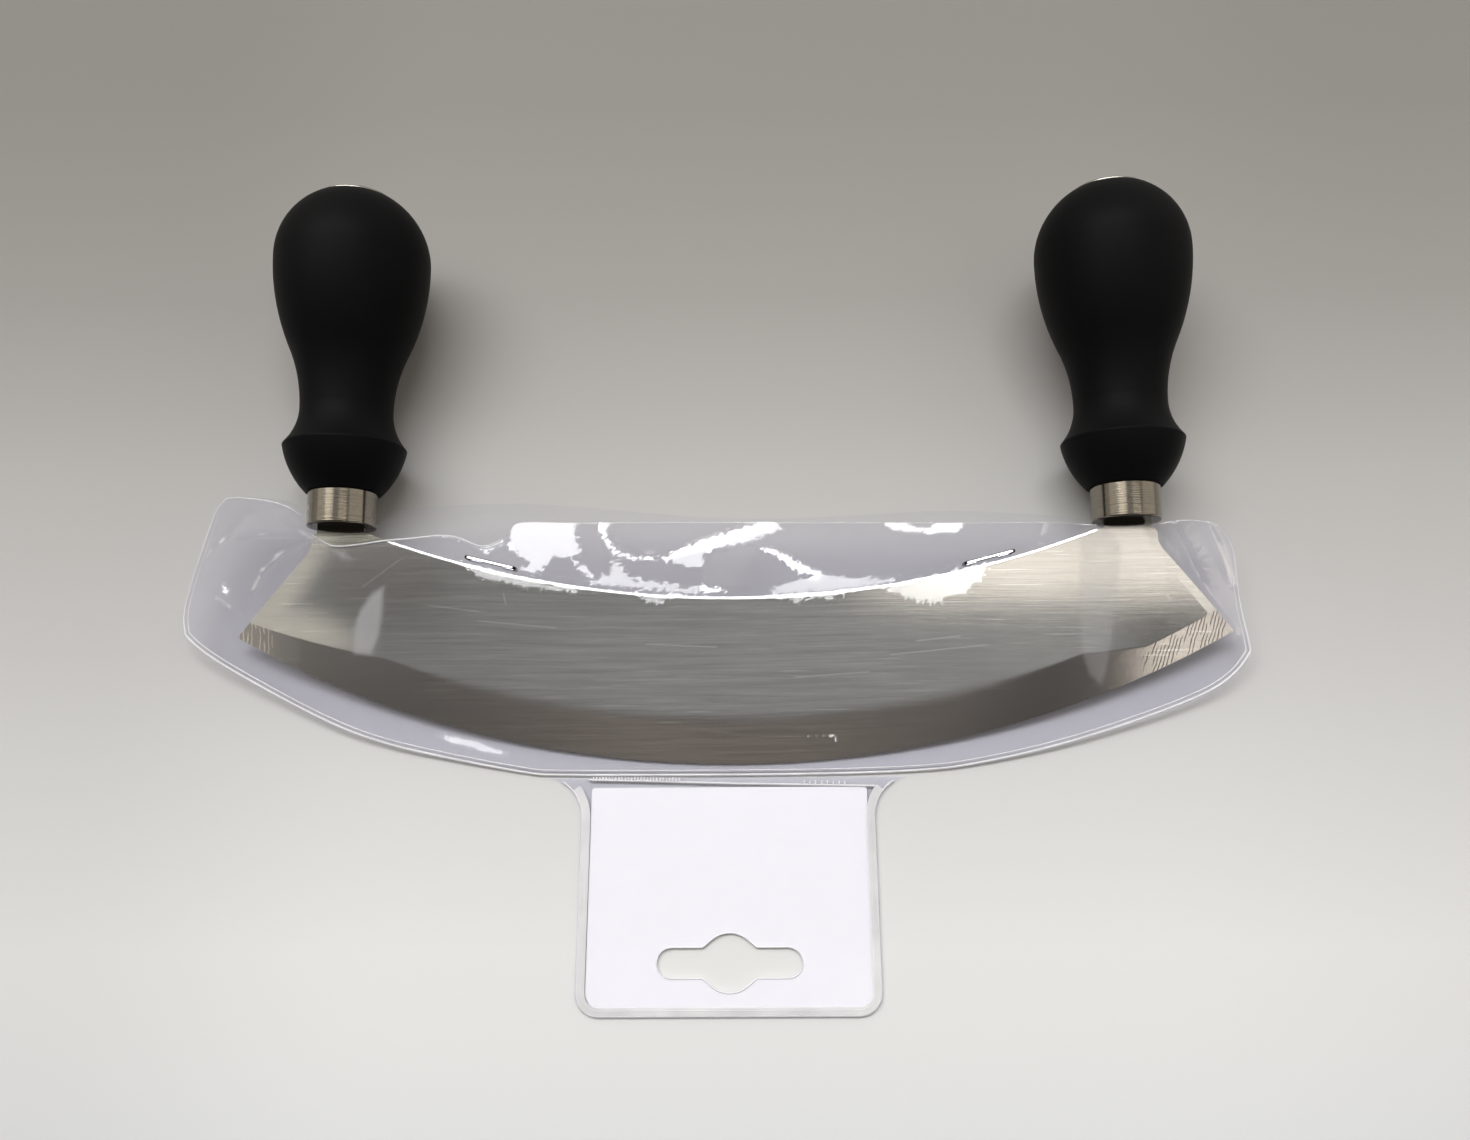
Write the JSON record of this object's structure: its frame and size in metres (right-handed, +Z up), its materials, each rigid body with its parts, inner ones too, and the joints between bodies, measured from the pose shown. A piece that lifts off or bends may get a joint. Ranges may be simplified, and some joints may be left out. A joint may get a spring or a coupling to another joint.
{
  "type": "mezzaluna",
  "caption": "Two-handled rocking mincing knife with a curved ground blade, in a clear stapled sheath with a hang tab.",
  "frame": {"origin": "middle of the underside of the whole part's box, on the table that it lies on", "axes": "+X along the blade's chord, +Y from the hang tab towards the handles, +Z up from the table"},
  "size_m": [0.2446, 0.1902, 0.0404],
  "materials": {
    "blade_steel": "satin ground stainless steel with a grinding grain",
    "ferrule_steel": "drawn stainless steel, brushed round",
    "cap_steel": "stamped stainless steel",
    "staple_wire": "zinc plated steel wire",
    "handle_plastic": "satin black moulded polypropylene",
    "clear_film": "clear soft PVC film, glossy, slightly lilac",
    "white_card": "matt white card"
  },
  "bodies": {
    "knife": {"blade": "blade_steel", "left_handle": "handle_plastic", "right_handle": "handle_plastic", "left_ferrule": "ferrule_steel", "right_ferrule": "ferrule_steel", "left_end_cap": "cap_steel", "right_end_cap": "cap_steel"},
    "sheath": {"pocket_front_film": "clear_film", "pocket_rear_film": "clear_film", "left_staple": "staple_wire", "right_staple": "staple_wire"},
    "tab": {"tab_rear_film": "clear_film", "tab_front_film": "clear_film", "header_card": "white_card"}
  },
  "joints": [
    {"name": "sheath_play", "type": "slide", "parent": "knife", "child": "sheath", "axis": [0, 0.9842, 0.1769], "range_m": [-0.001, 0.0003]},
    {"name": "tab_fold", "type": "hinge", "parent": "sheath", "child": "tab", "pos_m": [0.00284, -0.04407, 0.0003], "axis": [-1, 0, 0], "range_deg": [-150, 120]}
  ]
}
